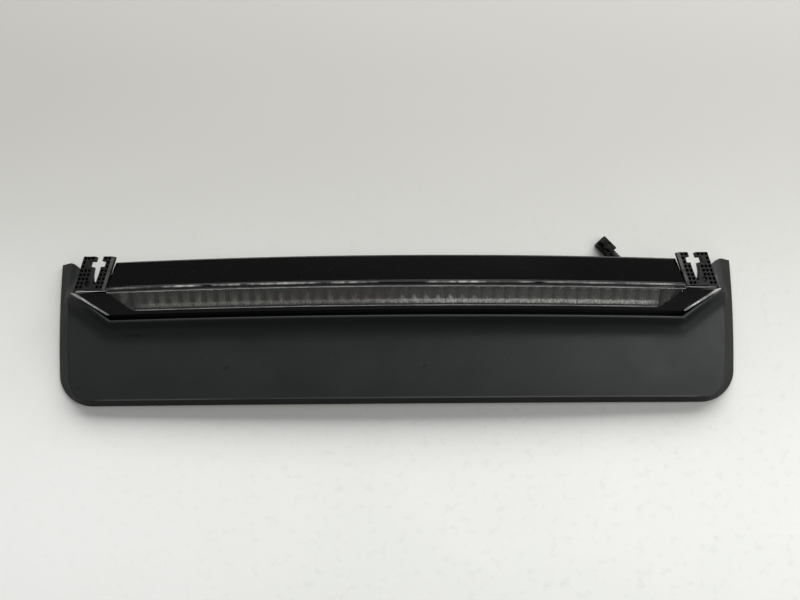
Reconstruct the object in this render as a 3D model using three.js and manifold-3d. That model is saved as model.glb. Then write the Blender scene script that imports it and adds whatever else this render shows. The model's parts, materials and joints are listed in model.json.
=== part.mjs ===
// Interior high-mounted third brake light: a moulded trim cover with a lamp bar let into its upper edge, ribbed
// mounting brackets at both ends of the bar, and a short lead with a two-way plug.
// Millimetres. X runs across the car, Y from the cover's lower edge to the lamp's upper edge, Z up from the bench
// that the lamp lies on. The origin is on the bench, under the middle of the lamp without its lead.
import * as THREE from "three";
import { mergeVertices } from "three/addons/utils/BufferGeometryUtils.js";
import Module from "manifold-3d";

const wasm = await Module();
wasm.setup();

// ---- Driving dimensions -------------------------------------------------------------------------------------
const COVER_HALF_WIDTH = 231; // at the widest point of the cover's sides
const SIDE_TAPER = 1.6; // how much narrower each side is 50 mm above or below the widest point
const WIDEST_Y = 75;
const CORNER_RADIUS = 24;
const WING_TOP_Y = 101.3; // upper edge of the cover beside the brackets
const COVER_WALL = 2.4;
const PANEL_EDGE_Z = 9; // outer surface just inside the flange, at the lower edge
const PANEL_BELLY = 2.5; // how much higher the panel is half-way up
const HEM_WIDTH = 4; // sloping flange along the lower edge
const FLANGE_WIDTH = 10.7; // sloping flange along the sides

const NOTCH_HALF_WIDTH = 188.5; // opening for the lamp bar: its straight lower edge
const NOTCH_Y = 58.3;
const NOTCH_TIP = [215.2, 78.2];
const NOTCH_TOP = [212, 94];
const LIP_RISE = 9; // the panel ramps up to a lip round the opening
const LIP_LAND = 1.5;
const RAMP_WIDTH = 17;
const RAMP_POWER = 2.6; // how hollow the ramp is

const CROWN = 5; // the middle stands this much higher than the ends, to follow the rear glass
const BOW_AT_EDGE = 0.5; // and the ends bow back by this at the lower edge, measured at BOW_SPAN from the middle,
const BOW_PER_MM = 0.033; // and by this much more for each millimetre up the cover
const BOW_SPAN = 200;
const MIDDLE_Y = 48.55; // half-way from the lower edge to the brackets' tops

const LENS_TILT = THREE.MathUtils.degToRad(22);
const LENS_CENTRE = [70.05, 22.5]; // y and z of the middle of the lens's outer face
const LENS_LOW = -6.3; // the lens's edges, up its face from that point
const LENS_HIGH = 7.4;
const LENS_WALL = 2.2;
const BEZEL_FRONT = -0.8; // the bezel's face is this much below the lens's, along its normal
const BEZEL_WALL = 2.2;
const BEZEL_LOW = -8.9;
const BEZEL_HIGH = 9.1;
const BEZEL_CORNER = [193, 63.3];
const BEZEL_TIP = [213.7, 77.5];
const CHAMFER = 1.9; // on the slanting ends of the bezel
const CHAMFER_FALL = 0.75;
const BEZEL_LEVEL_Y = 76.7; // beyond this the bezel's slanting ends are cut level, in front of the brackets

const PILLOW_PITCH = 7.9; // one moulded pillow of the inner optic
const PILLOWS = 44;
const LED_PITCH = 4 * PILLOW_PITCH;
const LED_COUNT = 11;
const BOARD_TOP = -10.4; // depth of the board's face below the lens's outer face
const BOARD_WALL = 1.6;

const BRACKET_BASE = [199.7, 75.6]; // middle of the bracket's lower edge
const BRACKET_HALF_WIDTH = 9.8;
const BRACKET_HEIGHT = 22;
const BRACKET_SLANT = 0.275; // how far the bracket leans inwards for each millimetre of height
const BRACKET_BACK = 25;
const BRACKET_DEPTH = 4.5;
const CELL_PITCH = 2.7;
const CELL_SIZE = 1.8;
const CELL_DEPTH = 3.3;
const INNER_CHAMFER = 1.5; // along the bracket's inner edge
const FIXING_ACROSS = 2.3; // the bracket's screw, across and up the bracket
const FIXING_UP = 4;

const GAP = 0.3;
const CABLE_RADIUS = 1.6;
const PLUG_ANGLE = THREE.MathUtils.degToRad(133.4);
const PLUG_REAR = [148.8, 102.2];

// ---- Materials ----------------------------------------------------------------------------------------------
const plastic = (color, roughness) => new THREE.MeshStandardMaterial({ color, roughness, metalness: 0 });
const metal = (color, roughness) => new THREE.MeshStandardMaterial({ color, roughness, metalness: 1 });
const MATTE_BLACK = plastic(0x2b2d2e, 0.62);
const HOUSING_BLACK = plastic(0x1b1c1c, 0.7);
const GLOSS_BLACK = plastic(0x080908, 0.12);
const CLEAR = new THREE.MeshStandardMaterial({ color: 0xe8eaea, roughness: 0.05, transparent: true, opacity: 0.3 });
const OPTIC = new THREE.MeshStandardMaterial({ color: 0xd8cfcf, roughness: 0.1, transparent: true, opacity: 0.5 });
const METALLISED = metal(0xb9b6b0, 0.25);
const BOARD_GREEN = plastic(0x1d4a2c, 0.45);
const LED_CREAM = plastic(0xe2d9b8, 0.4);
const STEEL = metal(0x9a9da0, 0.35);
const BRASS = metal(0xc2a25a, 0.3);
const RUBBER = plastic(0x151515, 0.85);

// ---- The bend that every long piece shares ------------------------------------------------------------------
function bent(x, y, z) {
  const back = (BOW_AT_EDGE + BOW_PER_MM * y) * (x / BOW_SPAN) ** 2;
  return [x, y - back, z + CROWN * (1 - (x / COVER_HALF_WIDTH) ** 2)];
}

function bend(geometry) {
  const at = geometry.getAttribute("position");
  for (let i = 0; i < at.count; i++) at.setXYZ(i, ...bent(at.getX(i), at.getY(i), at.getZ(i)));
  return geometry;
}

// ---- Solids -------------------------------------------------------------------------------------------------
// A closed three.js geometry as a manifold-3d solid.
function solid(geometry) {
  const bare = geometry.index ? geometry.toNonIndexed() : geometry.clone();
  for (const name of Object.keys(bare.attributes)) if (name !== "position") bare.deleteAttribute(name);
  const merged = mergeVertices(bare, 1e-4);
  const triVerts = new Uint32Array(merged.index.array);
  return new wasm.Manifold(new wasm.Mesh({ numProp: 3, vertProperties: merged.attributes.position.array, triVerts }));
}

const bentSolid = (geometry) => solid(bend(geometry));

function geometryOf(made) {
  const mesh = made.getMesh();
  return new THREE.BufferGeometry()
    .setAttribute("position", new THREE.BufferAttribute(mesh.vertProperties, 3))
    .setIndex(new THREE.BufferAttribute(mesh.triVerts, 1));
}

const shapeOf = (points) => new THREE.Shape(points.map(([a, b]) => new THREE.Vector2(a, b)));

// A plan outline of [x, y] points between two heights.
function prism(outline, low, high) {
  return new THREE.ExtrudeGeometry(shapeOf(outline), { depth: high - low, bevelEnabled: false }).translate(0, 0, low);
}

const inPlan = (outline) => bentSolid(prism(outline, -5, 60));

const ACROSS = new THREE.Matrix4().makeBasis(
  new THREE.Vector3(0, 1, 0),
  new THREE.Vector3(0, 0, 1),
  new THREE.Vector3(1, 0, 0),
);

// A cross-section of [y, z] points swept from x = from to x = to, in steps short enough to bend with the lamp.
function sweep(section, from, to) {
  const options = { depth: to - from, steps: Math.ceil((to - from) / 30), bevelEnabled: false };
  return new THREE.ExtrudeGeometry(shapeOf(section), options).applyMatrix4(ACROSS).translate(from, 0, 0);
}

function box(x0, x1, y0, y1, z0, z1) {
  const shape = new THREE.BoxGeometry(x1 - x0, y1 - y0, z1 - z0);
  return shape.translate((x0 + x1) / 2, (y0 + y1) / 2, (z0 + z1) / 2);
}

// A round bar from z = low to z = high.
function bar(x, y, radius, low, high, sides = 16) {
  const shape = new THREE.CylinderGeometry(radius, radius, high - low, sides).rotateX(Math.PI / 2);
  return shape.translate(x, y, (low + high) / 2);
}

// A closed slab between two grids of points: top(i, j) and bottom(i, j), i along x and j along y.
function slab(columns, rows, top, bottom) {
  const positions = [];
  const quad = (a, b, c, d) => positions.push(...a, ...b, ...c, ...a, ...c, ...d);
  const lastI = columns - 1;
  const lastJ = rows - 1;
  for (let i = 0; i < lastI; i++) {
    for (let j = 0; j < lastJ; j++) {
      quad(top(i, j), top(i + 1, j), top(i + 1, j + 1), top(i, j + 1));
      quad(bottom(i, j), bottom(i, j + 1), bottom(i + 1, j + 1), bottom(i + 1, j));
    }
    quad(bottom(i, 0), bottom(i + 1, 0), top(i + 1, 0), top(i, 0));
    quad(bottom(i + 1, lastJ), bottom(i, lastJ), top(i, lastJ), top(i + 1, lastJ));
  }
  for (let j = 0; j < lastJ; j++) {
    quad(bottom(0, j + 1), bottom(0, j), top(0, j), top(0, j + 1));
    quad(bottom(lastI, j), bottom(lastI, j + 1), top(lastI, j + 1), top(lastI, j));
  }
  return new THREE.BufferGeometry().setAttribute("position", new THREE.Float32BufferAttribute(positions, 3));
}

// ---- The tilted frame of the lens and what is behind it ----------------------------------------------------
// A point v up the lens's face and w out of it, as [y, z].
function optic(v, w) {
  const c = Math.cos(LENS_TILT);
  const s = Math.sin(LENS_TILT);
  return [LENS_CENTRE[0] + v * c - w * s, LENS_CENTRE[1] + v * s + w * c];
}

const opticBlock = (v0, v1, w0, w1) => [optic(v0, w0), optic(v1, w0), optic(v1, w1), optic(v0, w1)];

// A geometry made about the origin, with its z along the lens's normal, moved to x, v, w.
function onOptic(geometry, x, v, w) {
  const [y, z] = optic(v, w);
  return geometry.rotateX(LENS_TILT).translate(x, y, z);
}

const mirrored = (points) => [...points, ...points.map(([x, y]) => [-x, y]).reverse()];

// ---- Trim cover ---------------------------------------------------------------------------------------------
const smoothstep = (low, high, value) => THREE.MathUtils.smoothstep(value, low, high);
const sideX = (y) => COVER_HALF_WIDTH - SIDE_TAPER * ((y - WIDEST_Y) / 50) ** 2;
const STRAIGHT = sideX(CORNER_RADIUS) - CORNER_RADIUS; // half of the straight lower edge
const CORNER_ARC = (CORNER_RADIUS * Math.PI) / 2;

// The right half of the outline at a distance from the middle of the lower edge: [x, y, inward x, inward y].
function outline(distance) {
  if (distance <= STRAIGHT) return [distance, 0, 0, 1];
  const turn = (distance - STRAIGHT) / CORNER_RADIUS;
  if (turn >= Math.PI / 2) {
    const y = CORNER_RADIUS + distance - STRAIGHT - CORNER_ARC;
    return [sideX(y), y, -1, 0];
  }
  const [s, c] = [Math.sin(turn), Math.cos(turn)];
  return [STRAIGHT + CORNER_RADIUS * s, CORNER_RADIUS * (1 - c), -s, c];
}

// How far inside the outline a point is, and how wide the flange is there.
function edgeAt(x, y) {
  const [a, b] = [x - STRAIGHT, CORNER_RADIUS - y];
  if (a <= 0 || b <= 0) {
    const side = sideX(y) - x;
    return side < y ? [side, FLANGE_WIDTH] : [y, HEM_WIDTH];
  }
  const turned = smoothstep(0, 1, Math.atan2(a, b) / (Math.PI / 2));
  return [CORNER_RADIUS - Math.hypot(a, b), HEM_WIDTH + (FLANGE_WIDTH - HEM_WIDTH) * turned];
}

const SLOPE_LENGTH = Math.hypot(NOTCH_TIP[0] - NOTCH_HALF_WIDTH, NOTCH_TIP[1] - NOTCH_Y);
const SLOPE_OUT = [(NOTCH_TIP[1] - NOTCH_Y) / SLOPE_LENGTH, (NOTCH_HALF_WIDTH - NOTCH_TIP[0]) / SLOPE_LENGTH];

// How far outside the lamp's opening a point is.
function notchDistance(x, y) {
  const slope = (x - NOTCH_HALF_WIDTH) * SLOPE_OUT[0] + (y - NOTCH_Y) * SLOPE_OUT[1];
  return Math.max(NOTCH_Y - y, slope, x - NOTCH_TIP[0]);
}

function coverTop(x, y) {
  const right = Math.abs(x);
  const [inside, width] = edgeAt(right, y);
  const fall = THREE.MathUtils.clamp(1 - inside / width, 0, 1);
  const climb = THREE.MathUtils.clamp(1 - (notchDistance(right, y) - LIP_LAND) / (RAMP_WIDTH - LIP_LAND), 0, 1);
  const rise = LIP_RISE * (1 - 0.8 * smoothstep(72, 90, y)) * climb ** RAMP_POWER;
  const panel = PANEL_EDGE_Z + PANEL_BELLY * (1 - ((y - 50) / 50) ** 2);
  return panel + rise - (panel + rise - COVER_WALL) * (0.75 * fall + 0.25 * fall ** 2);
}

// The cover is a band from its outline (row 0) to the lamp's opening (last row). Each station gives a point of the
// opening, the way out of it, and the distance along the outline that it is joined to.
const EDGE_STATIONS = 7;
const SLOPE_STATIONS = 10;

function coverStations() {
  const miter = (a, b) => {
    const scale = 1 + a[0] * b[0] + a[1] * b[1];
    return [(a[0] + b[0]) / scale, (a[1] + b[1]) / scale];
  };
  const half = [];
  const add = (from, to, out, count, along0, along1) => {
    for (let i = 0; i < count; i++) {
      const t = i / count;
      const point = [from[0] + (to[0] - from[0]) * t, from[1] + (to[1] - from[1]) * t];
      half.push({ point, out, along: along0 + (along1 - along0) * t });
    }
  };
  const corner = [NOTCH_HALF_WIDTH, NOTCH_Y];
  const slopeEnd = STRAIGHT + CORNER_ARC + 38;
  const topEnd = STRAIGHT + CORNER_ARC + WING_TOP_Y - CORNER_RADIUS;
  add([0, NOTCH_Y], corner, [0, -1], EDGE_STATIONS, 0, STRAIGHT - 5);
  add(corner, NOTCH_TIP, SLOPE_OUT, SLOPE_STATIONS, STRAIGHT - 5, slopeEnd);
  add(NOTCH_TIP, NOTCH_TOP, [1, 0], 3, slopeEnd, topEnd);
  half.push({ point: NOTCH_TOP, out: [1, 0], along: topEnd });
  half[EDGE_STATIONS].out = miter([0, -1], SLOPE_OUT);
  half[EDGE_STATIONS + SLOPE_STATIONS].out = miter(SLOPE_OUT, [1, 0]);
  const left = half.slice(1).reverse().map((s) => ({ ...s, left: true }));
  return [...left, ...half];
}

// The wing's upper edge, which falls away behind the bracket.
const wingTop = (x) => WING_TOP_Y - 7.3 * (1 - smoothstep(NOTCH_TOP[0] - 3, 222, x));

function trimCover() {
  const stations = coverStations();
  const flangeRows = [0, 0.35, 0.7, 1];
  const middleRows = [0.25, 0.5, 0.75];
  const rampRows = [1, 0.72, 0.48, 0.28, 0.09, 0];
  const rows = flangeRows.length + middleRows.length + rampRows.length;
  const grid = stations.map(({ point, out, along, left }, i) => {
    const [ox, oy, ix, iy] = outline(along);
    const reach = Math.hypot(ox - point[0], oy - point[1]);
    const ramp = Math.min(RAMP_WIDTH, 0.42 * reach);
    const flange = Math.min(edgeAt(ox + ix, oy + iy)[1], 0.5 * reach);
    const outer = flangeRows.map((f) => [ox + ix * f * flange, oy + iy * f * flange]);
    const inner = rampRows.map((f) => [point[0] + out[0] * f * ramp, point[1] + out[1] * f * ramp]);
    const [a, b] = [outer.at(-1), inner[0]];
    const middle = middleRows.map((f) => [a[0] + (b[0] - a[0]) * f, a[1] + (b[1] - a[1]) * f]);
    const atEnd = i === 0 || i === stations.length - 1;
    return [...outer, ...middle, ...inner].map(([x, y]) => [left ? -x : x, atEnd ? wingTop(x) : y]);
  });
  const top = (i, j) => [...grid[i][j], coverTop(...grid[i][j])];
  const bottom = (i, j) => [...grid[i][j], coverTop(...grid[i][j]) - COVER_WALL];
  let cover = bentSolid(slab(stations.length, rows, top, bottom));
  for (const x of SCREW_XS) {
    cover = cover.add(bentSolid(bar(x, SCREW_Y, 3.4, 4.5, 10.2)));
    cover = cover.subtract(bentSolid(bar(x, SCREW_Y, 1.6, 4, 9.4, 12)));
  }
  for (const x of CLIP_XS) {
    cover = cover.add(bentSolid(box(x - 5.5, x + 5.5, CLIP_Y - 0.9, CLIP_Y + 0.9, -2.4, 9.5)));
  }
  return cover;
}

const SCREW_XS = [-150, -60, 60, 150]; // screws that hold the housing to the cover
const SCREW_Y = 44;
const CLIP_XS = [-110, 110]; // blades for the sheet-steel clips
const CLIP_Y = 16;

// ---- Lamp housing -------------------------------------------------------------------------------------------
const DEEP_HALF = 85; // the middle of the housing is deeper, for the header and the lead
const DEEP_FLOOR = -3.6;
const GLAND_YZ = [74, 1.6];
const POST_XS = [-168.5, -110.5, 110.5, 168.5];

function lampHousing() {
  const tubSection = [
    [60.6, 15.6],
    [60.6, 7.2],
    [62.2, 5.8],
    [92.6, 5.8],
    [95.2, 8.4],
    [95.2, 20.9],
    [80.6, 22.9],
    [79.3, 22.5],
    [63, 15.9],
  ];
  const tubPlan = mirrored([
    [188, 60.4],
    [191.5, 63.8],
    [195, 67.5],
    [195, 77.8],
    [190.6, 77.8],
    [183.9, 104],
  ]);
  const cavitySection = [
    [62.6, 40],
    [62.6, 9.2],
    [64.2, 7.8],
    [91.6, 7.8],
    [93.2, 9.4],
    [93.2, 40],
  ];
  const cavityPlan = mirrored([
    [186, 62],
    [189.5, 65],
    [193, 68.3],
    [193, 75.8],
    [186.5, 75.8],
    [178.4, 103],
  ]);
  const hornSection = [
    [62.6, 11],
    [78.2, 11],
    [78.2, 22.1],
    [62.6, 15.8],
  ];
  const ledgeSection = [
    [54, 9.6],
    [79, 9.6],
    [79, 11.2],
    [54, 11.2],
  ];
  const ledgePlan = mirrored([
    [190.3, 55.9],
    [213, 73],
    [213, 77.5],
    [188, 78],
  ]);
  let made = bentSolid(sweep(tubSection, -196, 196)).intersect(inPlan(tubPlan));
  made = made.add(bentSolid(sweep(ledgeSection, -214, 214)).intersect(inPlan(ledgePlan)));
  made = made.add(bentSolid(box(-DEEP_HALF, DEEP_HALF, 63, 91, DEEP_FLOOR, 7)));
  for (const side of [-1, 1]) {
    const hornPlan = [
      [188, 65.1],
      [191.75, 65.1],
      [210.6, 77.8],
      [188, 77.8],
    ].map(([x, y]) => [side * x, y]);
    const horn = bentSolid(sweep(hornSection, ...(side < 0 ? [-212, -187] : [187, 212])));
    made = made.add(horn.intersect(inPlan(side < 0 ? hornPlan.reverse() : hornPlan)));
    const ear = side < 0 ? [-206, -184] : [184, 206];
    made = made.add(solid(box(...ear, 75.8, 81.4, BRACKET_BACK - 3.6, BRACKET_BACK - GAP)));
    made = made.subtract(solid(bar(side * FIXING[0], FIXING[1], 0.9, BRACKET_BACK - 5, BRACKET_BACK, 12)));
  }
  for (const x of SCREW_XS) {
    made = made.add(bentSolid(box(x - 6, x + 6, 39.5, 59, 2, 4)));
    made = made.add(bentSolid(box(x - 6, x + 6, 57, 59, 3, 10.4)));
    made = made.add(bentSolid(box(x - 6, x + 6, 58, 61.5, 8.4, 10.4)));
    made = made.subtract(bentSolid(bar(x, SCREW_Y, 1.8, 1, 5, 12)));
  }
  made = made.subtract(bentSolid(sweep(cavitySection, -194, 194)).intersect(inPlan(cavityPlan)));
  made = made.subtract(bentSolid(box(2 - DEEP_HALF, DEEP_HALF - 2, 65, 89, DEEP_FLOOR + 1.8, 9)));
  for (const x of POST_XS) {
    const post = new THREE.CylinderGeometry(2.4, 2.4, 4.5, 16).rotateX(Math.PI / 2);
    const pilot = new THREE.CylinderGeometry(1.1, 1.1, 4, 12).rotateX(Math.PI / 2);
    made = made.add(bentSolid(onOptic(post, x, 0, -14.55)));
    made = made.subtract(bentSolid(onOptic(pilot, x, 0, -14)));
  }
  const hole = new THREE.CylinderGeometry(2.3, 2.3, 6, 16).rotateZ(Math.PI / 2);
  return made.subtract(bentSolid(hole.translate(DEEP_HALF - 1, ...GLAND_YZ)));
}

// ---- Front of the lamp --------------------------------------------------------------------------------------
// The lens's outline in plan, grown by a margin all round.
function lensPlan(margin) {
  return mirrored([
    [167, 60 - margin],
    [167 + margin, 63.9 - margin],
    [172 + margin, 64.6 - margin],
    [175.5 + margin, 66.1 - margin],
    [189.6 + margin, 76.8 - margin / 2],
    [189.6 + margin, 90],
  ]);
}

function outerLens() {
  const edge = 0.6;
  const section = [
    optic(LENS_LOW, -LENS_WALL),
    optic(LENS_HIGH, -LENS_WALL),
    optic(LENS_HIGH, -edge),
    optic(LENS_HIGH - edge, 0),
    optic(LENS_LOW + edge, 0),
    optic(LENS_LOW, -edge),
  ];
  return bentSolid(sweep(section, -192, 192)).intersect(inPlan(lensPlan(0)));
}

// The height of the bezel's face at a distance up the lamp.
function bezelFace(y) {
  const [faceY, faceZ] = optic(0, BEZEL_FRONT);
  return faceZ + (y - faceY) * Math.tan(LENS_TILT);
}

// What the chamfer takes off the right-hand slanting end of the bezel.
function bezelChamfer() {
  const [x0, y0] = [BEZEL_CORNER[0] + 0.3, BEZEL_CORNER[1]];
  const [dx, dy] = [BEZEL_TIP[0] - x0, BEZEL_TIP[1] - y0];
  const length = Math.hypot(dx, dy);
  const point = (i, j, height) => {
    const out = j ? -CHAMFER : CHAMFER;
    const t = i ? 1.2 : -0.12;
    const [x, y] = [x0 + dx * t + (out * dy) / length, y0 + dy * t - (out * dx) / length];
    return [x, y, bezelFace(y) + height];
  };
  return bentSolid(slab(2, 2, (i, j) => point(i, j, 6), (i, j) => point(i, j, j ? 0 : -2 * CHAMFER_FALL)));
}

function bezel() {
  const frame = opticBlock(BEZEL_LOW, BEZEL_HIGH, BEZEL_FRONT - BEZEL_WALL, BEZEL_FRONT);
  const plan = mirrored([
    [190, 61],
    [BEZEL_CORNER[0] - 1.5, 61.4],
    [BEZEL_CORNER[0] + 0.3, BEZEL_CORNER[1]],
    BEZEL_TIP,
    [BEZEL_TIP[0] - 1.2, 77.9],
    [188.7, 77.9],
    [187.8, 86],
  ]);
  const window = opticBlock(LENS_LOW - GAP, 12, -8, 4); // open along the top, under the mask
  const cut = bentSolid(sweep(window, -192, 192)).intersect(inPlan(lensPlan(GAP)));
  const made = bentSolid(sweep(frame, -216, 216)).intersect(inPlan(plan)).subtract(cut);
  const level = bentSolid(box(180, 216, BEZEL_LEVEL_Y, 84, bezelFace(BEZEL_LEVEL_Y), 40));
  const off = bezelChamfer().add(level);
  return made.subtract(off).subtract(off.mirror([1, 0, 0]));
}

function upperMask() {
  const section = [
    [77.7, 25.95],
    [78.6, 24.2],
    [95.6, 21.7],
    [95.9, 19.6],
    [97.3, 19.4],
    [97.5, 22.6],
    [96.9, 23.5],
    [80.4, 26.05],
    [79.5, 26.75],
    [78.4, 26.75],
  ];
  const plan = mirrored([
    [188.9, 76],
    [188.9, 79.5],
    [182.4, 104],
  ]);
  return bentSolid(sweep(section, -190, 190)).intersect(inPlan(plan));
}

// ---- Inside of the lamp -------------------------------------------------------------------------------------
// Clear strip with a row of moulded pillows on its front.
function flutedOptic() {
  const perPillow = 3;
  const columns = PILLOWS * perPillow + 1;
  const half = 6.0;
  const point = (i, j, w) => {
    const x = (i / perPillow - PILLOWS / 2) * PILLOW_PITCH;
    return [x, ...optic(j ? half : -half, w)];
  };
  const crest = (i) => (i % perPillow ? -3.1 : -3.7);
  const front = (i, j) => point(i, j, crest(i));
  const back = (i, j) => point(i, j, -5.4);
  return bentSolid(slab(columns, 2, front, back));
}

// Metallised tray with sloping ends and a window for each light-emitting diode.
function reflector() {
  const tray = [
    optic(-7.6, -9.4),
    optic(7.6, -9.4),
    optic(7.6, -3.6),
    optic(6.6, -3.6),
    optic(6.6, -8.4),
    optic(-6.6, -8.4),
    optic(-6.6, -3.6),
    optic(-7.6, -3.6),
  ];
  let made = bentSolid(sweep(tray, -184, 184));
  for (const side of [-1, 1]) {
    const wedge = shapeOf([
      [side * 175.2, 0.6],
      [side * 183.7, 0.6],
      [side * 183.7, 5.4],
      [side * 181.5, 5.4],
    ]);
    const ramp = new THREE.ExtrudeGeometry(wedge, { depth: 13.6, bevelEnabled: false });
    ramp.rotateX(Math.PI / 2).translate(0, 6.8, 0);
    made = made.add(bentSolid(onOptic(ramp, 0, 0, -9.4)));
  }
  for (const x of LED_XS) {
    const window = new THREE.BoxGeometry(4.6, 4.6, 4);
    made = made.subtract(bentSolid(onOptic(window, x, 0, -9)));
  }
  return made;
}

const LED_XS = Array.from({ length: LED_COUNT }, (_, i) => (i - (LED_COUNT - 1) / 2) * LED_PITCH);

function ledBoard() {
  let made = bentSolid(sweep(opticBlock(-6.2, 6.2, BOARD_TOP - BOARD_WALL, BOARD_TOP), -176, 176));
  for (const x of POST_XS) {
    const hole = new THREE.CylinderGeometry(1.5, 1.5, 5, 12).rotateX(Math.PI / 2);
    made = made.subtract(bentSolid(onOptic(hole, x, 0, BOARD_TOP - 1)));
  }
  return made;
}

// ---- Small rigid pieces -------------------------------------------------------------------------------------
// A pan-head screw with a cross recess: its head's underside at z = 0, its shank below.
function screw(headRadius, headHeight, shankRadius, length) {
  const profile = [
    [0, -length],
    [shankRadius * 0.6, -length],
    [shankRadius, 1.2 * shankRadius - length],
    [shankRadius, 0],
    [headRadius, 0],
    [headRadius, headHeight * 0.45],
    [headRadius * 0.72, headHeight],
    [0, headHeight],
  ].map(([r, z]) => new THREE.Vector2(r, z));
  const turned = solid(new THREE.LatheGeometry(profile, 12).rotateX(Math.PI / 2));
  const arm = headRadius * 0.62;
  const width = headRadius * 0.14;
  const low = headHeight * 0.35;
  const slot = solid(box(-arm, arm, -width, width, low, 5));
  return geometryOf(turned.subtract(slot).subtract(slot.rotate([0, 0, 90])));
}

function springClip() {
  const section = [
    [1.2, 5.2],
    [1.2, -2.4],
    [-1.2, -2.4],
    [-1.2, 5.2],
    [-2.3, 5.2],
    [-1.75, 3.4],
    [-2.9, 1.4],
    [-1.75, -2.9],
    [1.75, -2.9],
    [2.9, 1.4],
    [1.7, 3.4],
    [2.3, 5.2],
  ];
  return sweep(section, -4.5, 4.5).translate(0, 0, -0.3);
}

// A point of the right-hand bracket: across its width and up its height.
function bracketPoint(across, up) {
  return [BRACKET_BASE[0] - BRACKET_SLANT * up + across, BRACKET_BASE[1] + up];
}

const FIXING = bracketPoint(FIXING_ACROSS, FIXING_UP);

// Ribbed plate with a T-shaped slot that opens at its upper edge.
function bracket(side) {
  const place = (points) => points.map(([across, up]) => bracketPoint(across, up)).map(([x, y]) => [side * x, y]);
  const w = BRACKET_HALF_WIDTH;
  const outlinePoints = [
    [-w, 0],
    [w, 0],
    [w, BRACKET_HEIGHT],
    [2.2, BRACKET_HEIGHT],
    [2.2, 18.9],
    [4.9, 18.9],
    [4.9, 15.2],
    [2, 15.2],
    [1.2, 10],
    [-1.2, 3.6],
    [-2.9, 3.6],
    [-3.3, 10],
    [-3.3, 15.2],
    [-5.6, 15.2],
    [-5.6, 18.9],
    [-3, 18.9],
    [-3, BRACKET_HEIGHT],
    [-w, BRACKET_HEIGHT],
  ];
  const front = BRACKET_BACK + BRACKET_DEPTH;
  let made = solid(prism(place(outlinePoints), BRACKET_BACK, front));
  const half = CELL_SIZE / 2;
  for (const across of [-7.3, -4.7, 3.5, 6, 8.5]) {
    for (let row = 0; row < 8; row++) {
      const up = 1.8 + row * CELL_PITCH;
      const atHead = up + half > 14.6 && up - half < 19.5 && Math.abs(across + 0.35) < 6.6;
      const atScrew = Math.abs(across - FIXING_ACROSS) < 3.2 && Math.abs(up - FIXING_UP) < 3.2;
      if (atHead || atScrew) continue;
      const cell = [
        [across - half, up - half],
        [across + half, up - half],
        [across + half, up + half],
        [across - half, up + half],
      ];
      made = made.subtract(solid(prism(place(cell), front - CELL_DEPTH, front + 1)));
    }
  }
  const edge = (i, j, z) => [...bracketPoint(i ? INNER_CHAMFER - w : -w - 0.5, j ? BRACKET_HEIGHT + 1 : -1), z];
  const below = (i, j) => edge(i, j, i ? front : front - INNER_CHAMFER - 0.5);
  const wedge = solid(slab(2, 2, (i, j) => edge(i, j, front + 2), below));
  made = made.subtract(side < 0 ? wedge.mirror([1, 0, 0]) : wedge);
  const x = side * FIXING[0];
  made = made.subtract(solid(bar(x, FIXING[1], 1.25, BRACKET_BACK - 1, front + 1, 12)));
  return made.subtract(solid(bar(x, FIXING[1], 1.9, BRACKET_BACK + 2, front + 1, 12)));
}

// ---- Lead and plug ------------------------------------------------------------------------------------------
// The rubber gland: flanges on both sides of the housing's wall and a tapered sleeve.
function gland() {
  const profile = [
    [0, -4.4],
    [3, -4.4],
    [3, -2.3],
    [1.9, -2.3],
    [1.9, 0.3],
    [3.4, 0.3],
    [3.4, 1.8],
    [2.7, 2.4],
    [2.1, 9.4],
    [0, 9.4],
  ].map(([r, x]) => new THREE.Vector2(r, x));
  const turned = new THREE.LatheGeometry(profile, 16).rotateZ(-Math.PI / 2);
  const [y, z] = GLAND_YZ;
  return turned.translate(...bent(DEEP_HALF, y, z));
}

// The lead's route: out of the gland, down on to the bench, round a bend and up into the plug's boot.
const CABLE_ROUTE = [
  [94.8, 73.3, 5.9],
  [101, 73.2, 5.6],
  [108, 73.1, 4.6],
  [116, 73, 3.1],
  [124, 73, 2.1],
  [132, 73, 1.75],
  [140, 73, 1.7],
  [149.3, 73, 1.7],
  [153.9, 73.8, 1.7],
  [158, 76.1, 1.7],
  [160.9, 79.7, 1.7],
  [162, 84.1, 1.7],
  [161.2, 88.4, 1.9],
  [158.7, 92, 2.5],
  [155.54, 95.07, 3.1],
];

function tube(points, radius, sides, steps) {
  const curve = new THREE.CatmullRomCurve3(points.map((p) => new THREE.Vector3(...p)));
  const ring = Array.from({ length: sides }, (_, i) => {
    const turn = (2 * Math.PI * i) / sides;
    return [radius * Math.cos(turn), radius * Math.sin(turn)];
  });
  return new THREE.ExtrudeGeometry(shapeOf(ring), { steps, extrudePath: curve, bevelEnabled: false });
}

// The plug's own frame: x out of its mating end, from the rear of its body, y across and z up from the bench.
function plugBody() {
  const blank = [
    [0.4, -4],
    [11.2, -4],
    [11.6, -3.6],
    [11.6, 3.6],
    [11.2, 4],
    [0.4, 4],
    [0, 3.6],
    [0, -3.6],
  ];
  let made = solid(prism(blank, 0.3, 6.3));
  for (const side of [-1, 1]) {
    made = made.subtract(solid(box(-1, 13, side * 1.9 - 0.95, side * 1.9 + 0.95, 2.35, 4.25)));
    made = made.subtract(solid(box(2.2, 9.4, side * 3.9 - 0.4, side * 3.9 + 0.4, 2.6, 4.2)));
    const [inner, outer] = side < 0 ? [-3.2, -2] : [2, 3.2];
    made = made.add(solid(box(4.6, 6.6, inner, outer, 5.8, 8.7)));
    const seat = new THREE.CylinderGeometry(0.62, 0.62, 2, 12);
    made = made.subtract(solid(seat.translate(5.6, side * 2.4, 7.75)));
  }
  return made;
}

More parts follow.
